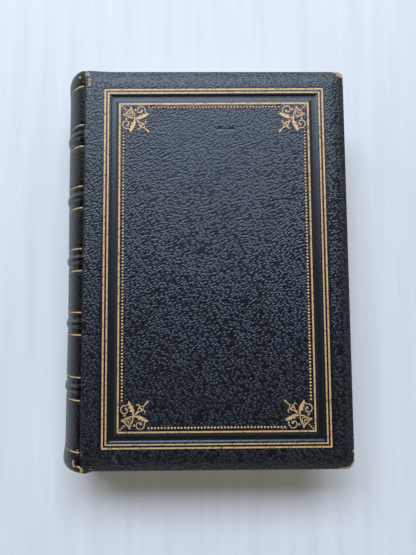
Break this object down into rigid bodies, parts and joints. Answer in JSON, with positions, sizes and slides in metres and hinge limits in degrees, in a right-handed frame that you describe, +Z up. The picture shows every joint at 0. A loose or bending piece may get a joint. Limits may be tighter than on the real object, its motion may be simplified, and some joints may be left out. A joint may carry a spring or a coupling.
{
  "type": "antique leather book",
  "caption": "Thick leather-bound book with cushioned boards, raised bands on a round spine, gilt frame lines and corner fleurons, and covers that open on their joints.",
  "frame": {"origin": "under the middle of the closed book, on the plane that the rear cover lies on", "axes": "+X from the spine to the fore-edge, +Y from the tail to the head, +Z up through the front cover"},
  "size_m": [0.1626, 0.225, 0.0401],
  "materials": {
    "cover_leather": "grained goatskin, blue-black, satin, rubbed to tan at corners and joints",
    "gold_leaf": "aged gold leaf, tooled, slightly rubbed",
    "leaves": "aged rag paper edges, matte",
    "endpaper": "plain aged paper, matte",
    "millboard": "rolled grey board",
    "mull_cloth": "open cotton weave",
    "headband_silk": "silk thread in two colours over a core"
  },
  "bodies": {
    "block": {"text_block": "leaves", "front_flyleaf": "endpaper", "rear_flyleaf": "endpaper", "spine_mull": "mull_cloth", "spine_hollow": "endpaper", "spine_leather": "cover_leather", "raised_band_1": "millboard", "raised_band_2": "millboard", "raised_band_3": "millboard", "raised_band_4": "millboard", "raised_band_5": "millboard", "head_headband": "headband_silk", "tail_headband": "headband_silk", "head_cap_cord": "mull_cloth", "tail_cap_cord": "mull_cloth", "spine_gilt_lines": "gold_leaf"},
    "front_cover": {"front_board": "millboard", "front_pastedown": "endpaper", "front_cover_leather": "cover_leather", "front_outer_fillet": "gold_leaf", "front_second_fillet": "gold_leaf", "front_inner_fillet": "gold_leaf", "front_gilt_pearls": "gold_leaf", "front_gilt_fleurons": "gold_leaf"},
    "rear_cover": {"rear_board": "millboard", "rear_pastedown": "endpaper", "rear_cover_leather": "cover_leather", "rear_outer_fillet": "gold_leaf", "rear_second_fillet": "gold_leaf", "rear_inner_fillet": "gold_leaf"}
  },
  "joints": [
    {"name": "front_joint", "type": "hinge", "parent": "block", "child": "front_cover", "pos_m": [-0.06665, 0, 0.04], "axis": [0, -1, 0], "range_deg": [0, 175]},
    {"name": "rear_joint", "type": "hinge", "parent": "block", "child": "rear_cover", "pos_m": [-0.06665, 0, 0], "axis": [0, 1, 0], "range_deg": [0, 175]}
  ]
}
